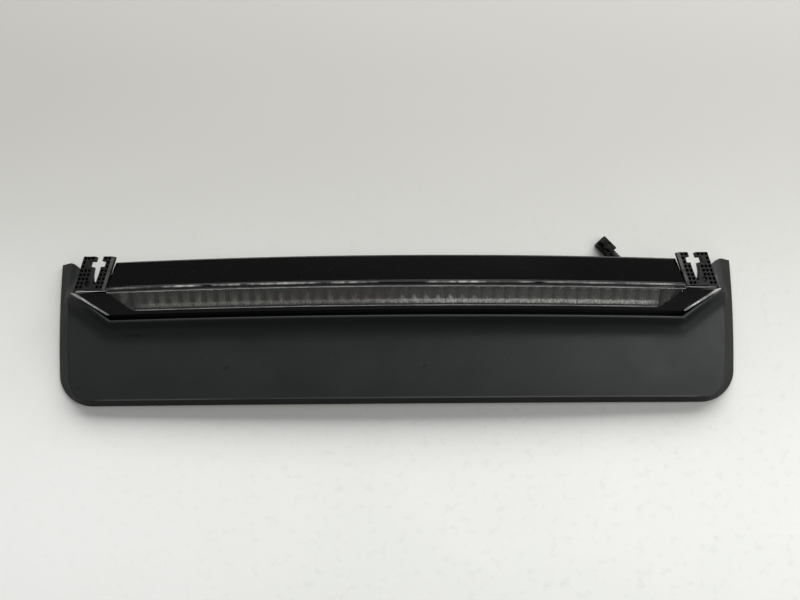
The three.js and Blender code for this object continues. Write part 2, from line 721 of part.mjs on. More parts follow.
function plugLatch() {
  const lever = [
    [0.9, 7.3],
    [11.1, 7.3],
    [11.1, 7.9],
    [9.9, 8.9],
    [9.3, 8.9],
    [9.3, 8.2],
    [2.7, 8.2],
    [2.2, 8.9],
    [0.9, 8.9],
  ];
  const options = { depth: 3.4, bevelEnabled: false };
  const plate = solid(new THREE.ExtrudeGeometry(shapeOf(lever), options).rotateX(Math.PI / 2).translate(0, 1.7, 0));
  const pin = new THREE.CylinderGeometry(0.5, 0.5, 5.6, 12);
  return plate.add(solid(pin.translate(5.6, 0, 7.75)));
}

function terminal() {
  return solid(box(0.6, 10.6, -0.75, 0.75, -0.75, 0.75)).subtract(solid(box(4, 12, -0.4, 0.4, -0.4, 0.4)));
}

// Ribbed rubber boot behind the plug's body.
function plugBoot() {
  const profile = [[0, -9.3]];
  for (let rib = 0; rib < 5; rib++) {
    const start = -9.3 + rib * 1.8;
    profile.push([2.2, start], [2.7, start + 0.3], [2.7, start + 1.1], [2.2, start + 1.4]);
  }
  profile.push([2.2, -0.3], [0, -0.3]);
  const points = profile.map(([r, x]) => new THREE.Vector2(r, x));
  return new THREE.LatheGeometry(points, 16).rotateZ(-Math.PI / 2).translate(0, 0, 3.1);
}

// ---- Assembly -----------------------------------------------------------------------------------------------
const lamp = new THREE.Group();
lamp.position.y = -MIDDLE_Y;

function put(name, geometry, material, parent = lamp) {
  const mesh = new THREE.Mesh(geometry, material);
  mesh.name = name;
  parent.add(mesh);
  return mesh;
}

// A rigid piece at a place on the bent lamp; tilted pieces stand on the board.
function putAt(name, geometry, material, x, y, z, tilt = 0) {
  const mesh = put(name, geometry, material);
  mesh.position.set(...bent(x, y, z));
  mesh.rotation.x = tilt;
  return mesh;
}

const onBoard = (name, geometry, material, x, v, w, flip = 0) =>
  putAt(name, geometry, material, x, ...optic(v, w), LENS_TILT + flip);

put("trim_cover", geometryOf(trimCover()), MATTE_BLACK);
put("lamp_housing", geometryOf(lampHousing()), HOUSING_BLACK);
put("bezel", geometryOf(bezel()), GLOSS_BLACK);
put("upper_mask", geometryOf(upperMask()), GLOSS_BLACK);
put("outer_lens", geometryOf(outerLens()), CLEAR);
put("fluted_optic", geometryOf(flutedOptic()), OPTIC);
put("reflector", geometryOf(reflector()), METALLISED);
put("led_board", geometryOf(ledBoard()), BOARD_GREEN);

LED_XS.forEach((x, i) => {
  const name = `led_${String(i + 1).padStart(2, "0")}`;
  onBoard(name, new THREE.BoxGeometry(3.2, 3, 1.8), LED_CREAM, x, 0, BOARD_TOP + 1);
});

const BOARD_BACK = BOARD_TOP - BOARD_WALL - 0.1;
const onBack = (name, width, length, height, x, v, material) =>
  onBoard(name, new THREE.BoxGeometry(width, length, height), material, x, v, BOARD_BACK - height / 2);
onBack("board_header", 8, 6, 5, 54, 0, LED_CREAM);
onBack("driver_chip", 5, 4, 1.6, -10, 0, RUBBER);
onBack("resistor_1", 6.3, 3.1, 0.6, 15, 1.5, RUBBER);
onBack("resistor_2", 6.3, 3.1, 0.6, 26, 1.5, RUBBER);
onBack("surge_diode", 4.3, 2.6, 2.2, -26, 0, RUBBER);

POST_XS.forEach((x, i) => onBoard(`board_screw_${i + 1}`, screw(2.2, 0.7, 0.85, 4.2), STEEL, x, 0, BOARD_TOP + 0.1));
SCREW_XS.forEach((x, i) => putAt(`cover_screw_${i + 1}`, screw(3, 1.7, 1.2, 7), STEEL, x, SCREW_Y, 1.7, Math.PI));
CLIP_XS.forEach((x, i) => putAt(`spring_clip_${i + 1}`, springClip(), STEEL, x, CLIP_Y, -0.2));

for (const [word, side] of [
  ["left", -1],
  ["right", 1],
]) {
  put(`bracket_${word}`, geometryOf(bracket(side)), MATTE_BLACK);
  const fixing = put(`bracket_screw_${word}`, screw(1.6, 1.2, 0.6, 6), STEEL);
  fixing.position.set(side * FIXING[0], FIXING[1], BRACKET_BACK + 2.1);
}

put("cable_grommet", gland(), RUBBER);
for (const [word, offset] of [
  ["1", -1.2],
  ["2", 1.2],
]) {
  const route = [
    [58.4, 75.6 + offset, 7.2],
    [63, 75.4 + offset, 6.6],
    [69, 74.8 + offset, 4],
    [75, 74.2 + offset, 2],
    [80.2, 74 + offset, 1.6],
  ].map((p) => bent(...p));
  put(`core_wire_${word}`, tube(route, 0.6, 8, 12), RUBBER);
}
put("pigtail_cable", tube(CABLE_ROUTE, CABLE_RADIUS, 10, 30), RUBBER);

const plug = new THREE.Group();
plug.position.set(...PLUG_REAR, 0);
plug.rotation.z = PLUG_ANGLE;
lamp.add(plug);
put("plug_body", geometryOf(plugBody()), HOUSING_BLACK, plug);
put("plug_latch", geometryOf(plugLatch()), HOUSING_BLACK, plug);
put("plug_boot", plugBoot(), RUBBER, plug);
for (const [word, y] of [
  ["1", -1.9],
  ["2", 1.9],
]) {
  put(`plug_terminal_${word}`, geometryOf(terminal()), BRASS, plug).position.set(0, y, 3.3);
}

const root = new THREE.Group();
root.add(lamp);
export default root;
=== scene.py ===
"""Third brake light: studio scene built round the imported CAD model.

Lengths are in millimetres until a mesh is made.
"""

import json
import math

import bmesh
import bpy
import numpy as np
from mathutils import Matrix, Vector


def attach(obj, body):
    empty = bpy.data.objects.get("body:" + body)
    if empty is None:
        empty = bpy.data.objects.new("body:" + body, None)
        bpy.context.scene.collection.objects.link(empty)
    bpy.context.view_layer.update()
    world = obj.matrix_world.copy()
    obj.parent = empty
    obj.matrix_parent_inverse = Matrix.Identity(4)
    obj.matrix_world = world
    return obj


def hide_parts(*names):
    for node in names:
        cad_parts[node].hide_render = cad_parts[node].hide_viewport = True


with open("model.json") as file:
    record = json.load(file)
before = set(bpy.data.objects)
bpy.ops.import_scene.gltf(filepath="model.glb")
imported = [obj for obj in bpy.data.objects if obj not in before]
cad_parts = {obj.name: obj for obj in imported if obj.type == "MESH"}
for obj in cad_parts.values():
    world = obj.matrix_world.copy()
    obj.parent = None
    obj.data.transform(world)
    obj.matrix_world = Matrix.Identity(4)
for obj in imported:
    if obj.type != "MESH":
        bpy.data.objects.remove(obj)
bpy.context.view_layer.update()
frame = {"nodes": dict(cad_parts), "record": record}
nodes = frame["nodes"]


# ---- Driving dimensions, as in the CAD model -----------------------------------------------------
MM = 0.001
MIDDLE_Y = 48.55  # the CAD model's origin, from the cover's lower edge
COVER_HALF_WIDTH = 231
SIDE_TAPER = 1.6
WIDEST_Y = 75
CORNER_RADIUS = 24.0
WING_TOP_Y = 101.3
COVER_WALL = 2.4
PANEL_EDGE_Z = 9
PANEL_BELLY = 2.5
HEM_WIDTH = 4
FLANGE_WIDTH = 10.7
LIP_RISE = 9
LIP_LAND = 1.5
RAMP_WIDTH = 17
RAMP_POWER = 2.6
NOTCH = np.array([[0, 58.3], [188.5, 58.3], [215.2, 78.2], [212, 94]])  # the lamp's opening, right half
CROWN = 5
BOW_AT_EDGE = 0.5
BOW_PER_MM = 0.033
BOW_SPAN = 200
LENS_TILT = math.radians(22)
LENS_CENTRE = (70.05, 22.5)
PILLOW_PITCH = 7.9
PILLOWS = 44
CABLE_RADIUS = 1.6
BEZEL_CORNER = (193.3, 63.3)
BEZEL_SLOPE = (0.821, 0.571)  # cosine and sine of the lean of the bezel's slanting ends


# ---- Camera --------------------------------------------------------------------------------------
camera_data = bpy.data.cameras.new("camera")
camera_data.lens = 31.5
camera_data.sensor_width = 36
camera = bpy.data.objects.new("camera", camera_data)
bpy.context.scene.collection.objects.link(camera)
bpy.context.scene.camera = camera
CAMERA_PLACE = (0.0026, -0.0285, 0.481)
TILT = math.radians(6)  # the view leans this far from straight down
ROLL = math.radians(-0.43)
leaned = Matrix.Translation(CAMERA_PLACE) @ Matrix.Rotation(TILT, 4, "X")
camera.matrix_world = leaned @ Matrix.Rotation(ROLL, 4, "Z")


# ---- Mesh helpers --------------------------------------------------------------------------------
def bent(p):
    """The bow and crown that every long piece follows, for an array of points in millimetres."""
    p = np.array(p, dtype=float)
    x, y, z = p[..., 0], p[..., 1], p[..., 2]
    back = (BOW_AT_EDGE + BOW_PER_MM * y) * (x / BOW_SPAN) ** 2
    return np.stack([x, y - back, z + CROWN * (1 - (x / COVER_HALF_WIDTH) ** 2)], axis=-1)


def in_row_frame(p):
    """Points in millimetres from the cover's lower edge, as points in metres in the shared frame."""
    p = np.array(p, dtype=float).reshape(-1, 3)
    return (p - [0, MIDDLE_Y, 0]) * MM


def make_mesh(name, points, faces, uvs=None):
    mesh = bpy.data.meshes.new(name)
    points = [tuple(p) for p in in_row_frame(points)]
    mesh.from_pydata(points, [], [tuple(int(i) for i in face) for face in faces])
    if uvs is not None:
        layer = mesh.uv_layers.new(name="UVMap")
        for loop in mesh.loops:
            layer.data[loop.index].uv = uvs[loop.vertex_index]
    mesh.validate()
    work = bmesh.new()
    work.from_mesh(mesh)
    bmesh.ops.recalc_face_normals(work, faces=work.faces)
    work.to_mesh(mesh)
    work.free()
    mesh.shade_smooth()
    made = bpy.data.objects.new(name, mesh)
    bpy.context.scene.collection.objects.link(made)
    return made


def loft(name, rings, uvs=None):
    """A closed, capped skin through rings of equal numbers of points: an array of stations x points x 3."""
    rings = np.array(rings, dtype=float)
    count, size = rings.shape[:2]
    faces = []
    for i in range(count - 1):
        for j in range(size):
            k = (j + 1) % size
            faces.append((i * size + j, (i + 1) * size + j, (i + 1) * size + k, i * size + k))
    faces.append(tuple(range(size)))
    faces.append(tuple(range(count * size - 1, (count - 1) * size - 1, -1)))
    return make_mesh(name, rings.reshape(-1, 3), faces, uvs)


def rounded(points, radii, steps=4):
    """A closed polygon in the plane with its corners rounded."""
    points = [np.array(p, dtype=float) for p in points]
    out = []
    for i, here in enumerate(points):
        before, after = points[i - 1], points[(i + 1) % len(points)]
        a, b = before - here, after - here
        la, lb = np.linalg.norm(a), np.linalg.norm(b)
        a, b = a / la, b / lb
        half = math.acos(max(-1, min(1, float(a @ b)))) / 2
        cut = min(radii[i] / max(math.tan(half), 1e-3), 0.45 * la, 0.45 * lb)
        radius = cut * math.tan(half)
        if radius < 1e-3 or half > math.pi / 2 - 0.02:
            out.append(here)
            continue
        middle = (a + b) / np.linalg.norm(a + b)
        centre = here + middle * radius / math.sin(half)
        start, end = here + a * cut - centre, here + b * cut - centre
        turn = math.atan2(start[0] * end[1] - start[1] * end[0], start @ end)
        for s in range(steps + 1):
            angle = turn * s / steps
            c, si = math.cos(angle), math.sin(angle)
            out.append(centre + [c * start[0] - si * start[1], si * start[0] + c * start[1]])
    return np.array(out)


def smoothing_group():
    """Geometry nodes that smooth a mesh except along its sharp edges."""
    group = bpy.data.node_groups.new("smooth_by_angle", "GeometryNodeTree")
    group.interface.new_socket("Geometry", in_out="INPUT", socket_type="NodeSocketGeometry")
    angle = group.interface.new_socket("Angle", in_out="INPUT", socket_type="NodeSocketFloat")
    angle.default_value = math.radians(32)
    group.interface.new_socket("Geometry", in_out="OUTPUT", socket_type="NodeSocketGeometry")
    add = group.nodes.new
    source, result = add("NodeGroupInput"), add("NodeGroupOutput")
    drop = add("GeometryNodeRemoveAttribute")
    drop.inputs["Name"].default_value = "custom_normal"
    faces = add("GeometryNodeSetShadeSmooth")
    faces.domain = "FACE"
    edges = add("GeometryNodeSetShadeSmooth")
    edges.domain = "EDGE"
    edges.inputs["Shade Smooth"].default_value = False
    turn = add("GeometryNodeInputMeshEdgeAngle")
    sharp = add("FunctionNodeCompare")
    sharp.data_type = "FLOAT"
    sharp.operation = "GREATER_THAN"
    link = group.links.new
    link(source.outputs["Geometry"], drop.inputs["Geometry"])
    link(drop.outputs["Geometry"], faces.inputs["Geometry"])
    link(faces.outputs["Geometry"], edges.inputs["Geometry"])
    link(turn.outputs["Unsigned Angle"], sharp.inputs[0])
    link(source.outputs["Angle"], sharp.inputs[1])
    link(sharp.outputs["Result"], edges.inputs["Selection"])
    link(edges.outputs["Geometry"], result.inputs["Geometry"])
    return group


SMOOTHING = smoothing_group()


def soften(piece, width=0.0, segments=3, weld=True, sharp=32, bevel_from=40):
    """Rounds a piece's sharp edges by a width in millimetres and smooths the rest."""
    if weld:
        piece.modifiers.new("weld", "WELD").merge_threshold = 2e-6
    if width:
        bevel = piece.modifiers.new("bevel", "BEVEL")
        bevel.width = width * MM
        bevel.segments = segments
        bevel.limit_method = "ANGLE"
        bevel.angle_limit = math.radians(bevel_from)
        bevel.use_clamp_overlap = True
        bevel.miter_outer = "MITER_ARC"
    smooth = piece.modifiers.new("smooth", "NODES")
    smooth.node_group = SMOOTHING
    smooth[SMOOTHING.interface.items_tree["Angle"].identifier] = math.radians(sharp)


# ---- Materials -----------------------------------------------------------------------------------
class Look:
    """A procedural material built up from layers of noise over one principled shader."""

    def __init__(self, name, color, roughness, metallic=0.0, specular=0.5):
        self.material = bpy.data.materials.new(name)
        self.material.use_nodes = True
        self.tree = self.material.node_tree
        self.shader = self.tree.nodes["Principled BSDF"]
        self.set("Base Color", (*color, 1))
        self.set("Roughness", roughness)
        self.set("Metallic", metallic)
        self.set("Specular IOR Level", specular)
        self.place = self.add("ShaderNodeTexCoord").outputs["Object"]

    def add(self, kind, **settings):
        node = self.tree.nodes.new(kind)
        for key, value in settings.items():
            setattr(node, key, value)
        return node

    def link(self, a, b):
        self.tree.links.new(a, b)

    def set(self, socket, value):
        self.shader.inputs[socket].default_value = value

    def noise(self, scale, detail=3, stretch=(1, 1, 1), roughness=0.55, place=None):
        mapping = self.add("ShaderNodeMapping")
        mapping.inputs["Scale"].default_value = stretch
        texture = self.add("ShaderNodeTexNoise")
        texture.inputs["Scale"].default_value = scale
        texture.inputs["Detail"].default_value = detail
        texture.inputs["Roughness"].default_value = roughness
        self.link(place or self.place, mapping.inputs["Vector"])
        self.link(mapping.outputs["Vector"], texture.inputs["Vector"])
        return texture.outputs["Fac"]

    def ramp(self, value, low, high, out_low=0.0, out_high=1.0, smooth=False):
        node = self.add("ShaderNodeMapRange")
        if smooth:
            node.interpolation_type = "SMOOTHSTEP"
        numbers = {"From Min": low, "From Max": high, "To Min": out_low, "To Max": out_high}
        for key, number in numbers.items():
            node.inputs[key].default_value = number
        self.link(value, node.inputs["Value"])
        return node.outputs["Result"]

    def math(self, operation, a, b=0.0):
        node = self.add("ShaderNodeMath", operation=operation)
        for socket, value in ((node.inputs[0], a), (node.inputs[1], b)):
            if isinstance(value, (int, float)):
                socket.default_value = value
            else:
                self.link(value, socket)
        return node.outputs["Value"]

    def times(self, a, b):
        return self.math("MULTIPLY", a, b)

    def plus(self, a, b):
        return self.math("ADD", a, b)

    def minus(self, a, b):
        return self.math("SUBTRACT", a, b)

    def magnitude(self, a):
        return self.math("ABSOLUTE", a)

    def axes(self, place=None):
        """The X, Y and Z of a place on the object."""
        split = self.add("ShaderNodeSeparateXYZ")
        self.link(place or self.place, split.inputs["Vector"])
        return split.outputs["X"], split.outputs["Y"], split.outputs["Z"]

    def tint(self, fac, color):
        """Mixes a colour over what the base colour is so far, by a mask."""
        mix = self.add("ShaderNodeMix", data_type="RGBA")
        base = self.shader.inputs["Base Color"]
        if base.is_linked:
            source = base.links[0].from_socket
            self.link(source, mix.inputs[6])
        else:
            mix.inputs[6].default_value = base.default_value
        mix.inputs[7].default_value = (*color, 1)
        self.link(fac, mix.inputs[0])
        self.link(mix.outputs[2], base)

    def rough(self, value):
        self.link(value, self.shader.inputs["Roughness"])

    def bump(self, height, distance, strength=1.0):
        """Adds a bump under the ones already there; distance is in millimetres."""
        node = self.add("ShaderNodeBump")
        node.inputs["Strength"].default_value = strength
        node.inputs["Distance"].default_value = distance * MM
        self.link(height, node.inputs["Height"])
        normal = self.shader.inputs["Normal"]
        if normal.is_linked:
            self.link(normal.links[0].from_socket, node.inputs["Normal"])
        self.link(node.outputs["Normal"], normal)

    def facing(self, direction):
        """How squarely the surface faces a direction."""
        node = self.add("ShaderNodeVectorMath", operation="DOT_PRODUCT")
        node.inputs[1].default_value = direction
        self.link(self.add("ShaderNodeNewGeometry").outputs["Normal"], node.inputs[0])
        return node.outputs["Value"]

    def above_bow(self, level, height):
        """How far up the lamp a point is from the line at a height that bows like the one at a level."""
        x, y, _ = self.axes()
        bow = (BOW_AT_EDGE + BOW_PER_MM * level) * MM / (BOW_SPAN * MM) ** 2
        unbent = self.plus(y, self.times(self.times(x, x), bow))
        return self.minus(unbent, (height - MIDDLE_Y) * MM)

    def specks(self, scale, size, amount, color):
        """Dust: small scattered spots."""
        cells = self.add("ShaderNodeTexVoronoi")
        cells.inputs["Scale"].default_value = scale
        self.link(self.place, cells.inputs["Vector"])
        spot = self.ramp(cells.outputs["Distance"], size, size * 0.4)
        chosen = self.add("ShaderNodeSeparateColor")
        self.link(cells.outputs["Color"], chosen.inputs["Color"])
        self.tint(self.times(spot, self.ramp(chosen.outputs[0], 1 - amount, 1 - amount + 0.02)), color)


def matte(name, color, roughness, grain=0.05, variation=0.18, specular=0.5):
    look = Look(name, color, roughness, specular=specular)
    dark = tuple(c * (1 - variation) for c in color)
    light = tuple(c * (1 + 1.6 * variation) + 0.001 for c in color)
    look.tint(look.ramp(look.noise(28, 4), 0.4, 0.75), dark)
    look.tint(look.times(look.ramp(look.noise(900, 2), 0.55, 0.75), 0.6), light)
    look.rough(look.ramp(look.noise(45, 4), 0.3, 0.7, roughness - 0.05, roughness + 0.06))
    look.bump(look.noise(1400, 3), grain)
    return look


def gloss(name, color, roughness, dust=0.25):
    look = Look(name, color, roughness)
    smear = look.noise(16, 5, stretch=(0.35, 1, 1))
    look.rough(look.ramp(smear, 0.35, 0.75, roughness, roughness + 0.09))
    look.tint(look.times(look.ramp(smear, 0.45, 0.8), dust), (0.016, 0.017, 0.015))
    look.specks(900, 0.2, 0.05, (0.06, 0.06, 0.055))
    look.bump(look.noise(9, 2), 0.05)
    return look


def mask_look():
    """The black strip, with a broken painted highlight along the bead at its front edge."""
    look = gloss("gloss_black", (0.0013, 0.0014, 0.0012), 0.07, dust=0.06)
    look.set("Specular IOR Level", 0.4)
    # painted highlight: a broken light-grey line tinted into the colour along the bead, standing in for its
    # reflection of the lamps
    bead = look.ramp(look.magnitude(look.above_bow(79, 79.1)), 0.0008, 0.0003, smooth=True)
    long = look.ramp(look.noise(1, 2, stretch=(34, 5, 5)), 0.42, 0.6)
    fine = look.ramp(look.noise(1, 3, stretch=(240, 90, 90)), 0.3, 0.62, 0.1, 1.0)
    look.tint(look.times(bead, look.times(long, fine)), (0.36, 0.36, 0.345))
    return look.material


def bezel_look():
    """The gloss bezel, with a painted highlight tinted near-white along the outer edge of its slanting
    chamfers.
    """
    look = gloss("bezel_black", (0.0038, 0.004, 0.004), 0.1, dust=0.4)
    # painted highlight: the slanting chamfers are tinted near-white along their outer edge, standing in for
    # their reflection of the lamps
    slant = look.ramp(look.magnitude(look.facing((1, 0, 0))), 0.09, 0.15)
    highlight_mask = look.times(slant, look.ramp(look.facing((0, 0, 1)), 0.6, 0.7))
    up = look.above_bow(70, BEZEL_CORNER[1])
    out = look.minus(look.magnitude(look.axes()[0]), BEZEL_CORNER[0] * MM)
    inside = look.minus(look.times(up, BEZEL_SLOPE[0]), look.times(out, BEZEL_SLOPE[1]))
    highlight_mask = look.times(highlight_mask, look.ramp(inside, 0.0019, 0.0011))
    patchy = look.ramp(look.noise(1, 4, stretch=(160, 160, 160)), 0.3, 0.5, 0.35, 1.0)
    look.tint(look.times(highlight_mask, patchy), (0.62, 0.62, 0.6))
    return look.material


def brushed(name, color, roughness):
    look = Look(name, color, roughness, metallic=1.0)
    grain = look.noise(300, 4, stretch=(1, 6, 1))
    look.rough(look.ramp(grain, 0.3, 0.7, roughness - 0.08, roughness + 0.14))
    look.tint(look.ramp(look.noise(60, 4), 0.55, 0.8), tuple(c * 0.6 for c in color))
    look.bump(look.noise(1500, 2), 0.01)
    return look


def bracket_look():
    """Black moulding, with painted highlights tinted lighter on the chamfers of its inner edges."""
    look = matte("bracket_plastic", (0.0092, 0.0096, 0.0094), 0.5, grain=0.04, specular=0.22)
    # painted highlight: up-tilted faces leaning to -X are tinted lighter than those leaning to +X, standing
    # in for the lamps' light on them
    patchy = look.ramp(look.noise(300, 3), 0.3, 0.55, 0.4, 1.0)
    highlight_zone = look.times(look.ramp(look.facing((0, 0, 1)), 0.35, 0.5), patchy)
    for side, highlight_grey in ((1, 0.06), (-1, 0.2)):
        slant = look.ramp(look.facing((side, 0, 0)), 0.45, 0.6)
        look.tint(look.times(slant, highlight_zone), (highlight_grey, highlight_grey, highlight_grey * 0.95))
    return look.material


def tray_look():
    """The metallised tray, dulled, with a brighter streaked patch at its right end."""
    look = brushed("metallised", (0.075, 0.072, 0.068), 0.32)
    streak = look.ramp(look.noise(1, 3, stretch=(90, 260, 90)), 0.42, 0.62, 0.25, 1.0)
    look.tint(look.times(look.ramp(look.axes()[0], 0.166, 0.176), streak), (0.34, 0.33, 0.31))
    return look.material


SMUDGES = [  # x, y and size
    (-179, -2.2, 2.6),
    (-172, -2.4, 2.4),
    (-113, -24, 2.8),
    (18, -23.7, 2.4),
    (-212, -37, 1.6),
]


def smudge(look, x, y, size):
    """A ragged dark spot on the cover's face, wider than it is high."""
    squash = (1, 1.8, 0)
    flat = look.add("ShaderNodeMapping")
    flat.inputs["Scale"].default_value = squash
    look.link(look.place, flat.inputs["Vector"])
    away = look.add("ShaderNodeVectorMath", operation="DISTANCE")
    look.link(flat.outputs["Vector"], away.inputs[0])
    away.inputs[1].default_value = (x * MM, squash[1] * y * MM, 0)
    ragged = look.minus(away.outputs["Value"], look.ramp(look.noise(420, 3), 0.3, 0.7, -0.0012, 0.0014))
    look.tint(look.ramp(ragged, size * MM, size * 0.4 * MM, 0.0, 0.85), (0.003, 0.003, 0.003))


def cover_look():
    """Charcoal moulding with faint streaks, dust and smudges, painted shade on its flanges and hem, and a
    painted highlight along the crease above its hem.
    """
    look = matte("cover_plastic", (0.0135, 0.0152, 0.015), 0.45, grain=0.03, variation=0.12, specular=0.4)
    streak = look.ramp(look.noise(24, 5, stretch=(1, 9, 1), roughness=0.7), 0.62, 0.8)
    look.tint(look.times(streak, 0.35), (0.03, 0.032, 0.031))
    look.specks(420, 0.16, 0.05, (0.06, 0.06, 0.057))
    look.specks(130, 0.1, 0.12, (0.005, 0.005, 0.005))
    for x, y, size in SMUDGES:
        smudge(look, x, y, size)
    # painted shade: the flanges and the hem are tinted darker, the flanges olive, standing in for the shade
    # on these outward-falling faces
    out_x = look.magnitude(look.axes()[0])
    above = look.above_bow(HEM_WIDTH, HEM_WIDTH + 0.35)
    look.tint(look.ramp(out_x, 0.2205, 0.2225, 0.0, 0.8), (0.006, 0.0068, 0.0045))
    look.tint(look.ramp(above, 0.0003, -0.0006, 0.0, 0.85), (0.0035, 0.0036, 0.0035))
    # the fine texture dulls the steep faces
    level = look.ramp(look.facing((0, 0, 1)), 0.7, 0.97, 0.07, 0.4)
    look.link(level, look.shader.inputs["Specular IOR Level"])
    # painted highlight: the crease above the hem is tinted lighter in patches, standing in for the light
    # its rounding catches
    highlight_zone = look.ramp(look.magnitude(above), 0.0007, 0.0002, smooth=True)
    straight = look.ramp(out_x, 0.203, 0.198)
    highlight_mask = look.times(look.ramp(look.noise(14, 4), 0.3, 0.6, 0.25, 0.8), straight)
    look.tint(look.times(highlight_zone, highlight_mask), (0.06, 0.06, 0.056))
    return look.material


def lens_look():
    """Clear polycarbonate: see-through on its face, with painted highlights along the bevels at its edges.
    """
    look = Look("clear_lens", (0.88, 0.9, 0.9), 0.04, metallic=1.0)
    upper = look.ramp(look.facing((0, 0.39, 0.92)), 0.9, 0.98)
    lower = look.ramp(look.facing((0, -0.92, 0.39)), 0.86, 0.97)
    broken = look.ramp(look.noise(1, 3, stretch=(60, 8, 8)), 0.35, 0.65, 0.45, 1.0)
    # painted highlight: on the bevels the lens turns more opaque and less metallic, so its near-white
    # colour shows as a broken bright line
    edge = look.plus(look.times(upper, 0.55), lower)
    look.link(look.plus(look.times(edge, broken), 0.09), look.shader.inputs["Alpha"])
    look.link(look.ramp(edge, 0.0, 0.2, 1.0, 0.0), look.shader.inputs["Metallic"])
    look.rough(look.ramp(look.noise(60, 4), 0.4, 0.8, 0.03, 0.09))
    look.material.surface_render_method = "BLENDED"
    return look.material


def optic_look():
    """Fluted pillows over a silvery tray: grey bars that drift in tint, with a painted highlight band along
    the lamp's foot.
    """
    look = Look("optic_clear", (0.105, 0.101, 0.091), 0.25, metallic=0.15)
    uv = look.add("ShaderNodeUVMap", uv_map="UVMap").outputs["UV"]
    along, across, _ = look.axes(uv)

    def uneven(detail, stretch, low, high):
        return look.ramp(look.noise(1, detail, stretch=(*stretch, 1), place=uv), low, high)

    # tint: warm on the left, rose short of the middle, plain grey on the right
    look.tint(look.times(look.ramp(along, 0.32, 0.12, smooth=True), 0.7), (0.13, 0.125, 0.095))
    rose = look.times(look.ramp(along, 0.2, 0.34, smooth=True), look.ramp(along, 0.56, 0.46, smooth=True))
    look.tint(look.times(rose, 0.9), (0.08, 0.055, 0.062))
    # fine upright flutes, deepest on the left
    wander = look.times(look.noise(1, 2, stretch=(30, 1, 1), place=uv), 9.0)
    turns = look.plus(look.times(along, PILLOWS * 5 * 2 * math.pi), wander)
    flute = look.ramp(look.math("SINE", turns), -0.2, 0.9)
    depth = look.times(look.ramp(along, 0.7, 0.45, 0.25, 0.75), uneven(2, (70, 2), 0.35, 0.6))
    look.tint(look.times(flute, depth), (0.03, 0.027, 0.026))
    # dark joins between the pillows and upright light bars, on the left half
    bars = uneven(1, (95, 1.2), 0.54, 0.66)
    left_half = look.times(look.ramp(along, 0.5, 0.36, smooth=True), look.ramp(along, 0.03, 0.08))
    look.tint(look.times(look.times(bars, left_half), 0.55), (0.27, 0.26, 0.2))
    cell = look.magnitude(look.minus(look.math("FRACT", look.times(along, PILLOWS)), 0.5))
    join = look.ramp(cell, 0.2, 0.36, smooth=True)
    join = look.times(join, look.ramp(along, 0.52, 0.4, 0.25, 1.0, smooth=True))
    look.tint(look.times(join, 0.85), (0.02, 0.017, 0.018))
    look.tint(look.times(rose, 0.42), (0.085, 0.042, 0.052))
    # a light lump at the foot of each pillow, strongest beside the middle
    height = look.plus(across, look.times(cell, 0.9))
    lump = look.times(look.ramp(height, 0.62, 0.42, smooth=True), look.ramp(across, 0.1, 0.16))
    beside = look.times(look.ramp(along, 0.49, 0.54, smooth=True), look.ramp(along, 0.68, 0.6, smooth=True))
    beside = look.times(beside, uneven(1, (PILLOWS, 1), 0.38, 0.6))
    look.tint(look.times(lump, look.plus(look.times(beside, 0.8), 0.1)), (0.6, 0.59, 0.55))
    # painted highlight: a broken near-white band along the foot, standing in for light coming through the
    # lens there
    broken = uneven(3, (260, 5), 0.4, 0.62)
    band = look.times(look.ramp(across, 0.34, 0.2, smooth=True), look.ramp(across, 0.0, 0.05))
    band = look.times(band, look.ramp(along, 0.4, 0.6, 0.3, 1.0))
    look.tint(look.times(band, look.plus(look.times(broken, 0.7), 0.3)), (1.0, 1.0, 0.95))
    # the ends run out into the tray, and the mask shades the upper part
    look.tint(look.ramp(along, 0.035, 0.0, 0.0, 0.85, smooth=True), (0.035, 0.033, 0.031))
    look.tint(look.ramp(along, 0.975, 1.0, 0.0, 0.7, smooth=True), (0.12, 0.115, 0.105))
    look.tint(look.ramp(across, 0.62, 0.98, 0.0, 0.8, smooth=True), (0.025, 0.023, 0.021))
    look.rough(look.ramp(look.noise(1, 2, stretch=(210, 2, 1), place=uv), 0.3, 0.7, 0.18, 0.34))
    return look.material


LOOKS = {
    "cover": cover_look(),
    "housing": matte("housing_plastic", (0.0035, 0.0036, 0.0036), 0.6, specular=0.12).material,
    "bracket": bracket_look(),
    "gloss": mask_look(),
    "bezel": bezel_look(),
    "lens": lens_look(),
    "optic": optic_look(),
    "metallised": tray_look(),
    "board": gloss("board_green", (0.02, 0.09, 0.035), 0.35).material,
    "led": gloss("led_body", (0.7, 0.65, 0.45), 0.3).material,
    "component": matte("component_black", (0.012, 0.012, 0.012), 0.4).material,
    "steel": brushed("steel", (0.45, 0.46, 0.47), 0.3).material,
    "brass": brushed("terminal_brass", (0.6, 0.42, 0.16), 0.28).material,
    "rubber": matte("rubber", (0.011, 0.011, 0.011), 0.7, grain=0.06).material,
    "tape": matte("cloth_tape", (0.034, 0.032, 0.028), 0.75, grain=0.12, variation=0.4).material,
    "plug": matte("plug_plastic", (0.0038, 0.0036, 0.003), 0.36, grain=0.03, specular=0.14).material,
    "black_steel": brushed("black_steel", (0.05, 0.05, 0.048), 0.4).material,
}

